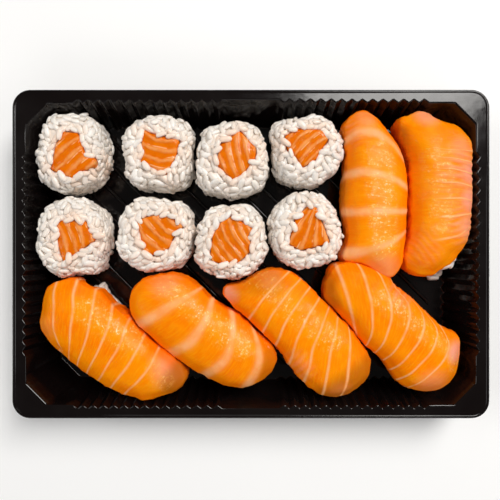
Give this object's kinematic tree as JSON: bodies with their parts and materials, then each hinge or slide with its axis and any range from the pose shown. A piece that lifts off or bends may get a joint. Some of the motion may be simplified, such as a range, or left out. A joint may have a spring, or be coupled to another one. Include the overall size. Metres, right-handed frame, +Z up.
{
  "type": "takeaway sushi tray",
  "caption": "Shallow black takeaway tray with fluted walls, filled with rice rolls that have a salmon core and with salmon nigiri.",
  "frame": {"origin": "centre of the tray's footprint, on the surface that it stands on", "axes": "+Z up out of the tray, +X along its long side towards the end with the two upright nigiri, +Y along its short side towards the first row of rolls"},
  "size_m": [0.212, 0.146, 0.0294],
  "materials": {
    "black_plastic": "glossy black thermoformed sheet",
    "rice": "moist cooked rice grains, slightly translucent",
    "salmon": "raw salmon slice with pale fat lines, wet",
    "salmon_core": "cut face of raw salmon with pale fat lines, wet"
  },
  "bodies": {
    "root": {"tray": "black_plastic", "roll_1_rice": "rice", "roll_1_salmon": "salmon_core", "roll_2_rice": "rice", "roll_2_salmon": "salmon_core", "roll_3_rice": "rice", "roll_3_salmon": "salmon_core", "roll_4_rice": "rice", "roll_4_salmon": "salmon_core", "roll_5_rice": "rice", "roll_5_salmon": "salmon_core", "roll_6_rice": "rice", "roll_6_salmon": "salmon_core", "roll_7_rice": "rice", "roll_7_salmon": "salmon_core", "roll_8_rice": "rice", "roll_8_salmon": "salmon_core", "nigiri_1_salmon": "salmon", "nigiri_1_rice": "rice", "nigiri_2_salmon": "salmon", "nigiri_2_rice": "rice", "nigiri_3_salmon": "salmon", "nigiri_3_rice": "rice", "nigiri_4_salmon": "salmon", "nigiri_4_rice": "rice", "nigiri_5_salmon": "salmon", "nigiri_5_rice": "rice", "nigiri_6_salmon": "salmon", "nigiri_6_rice": "rice"}
  },
  "joints": []
}
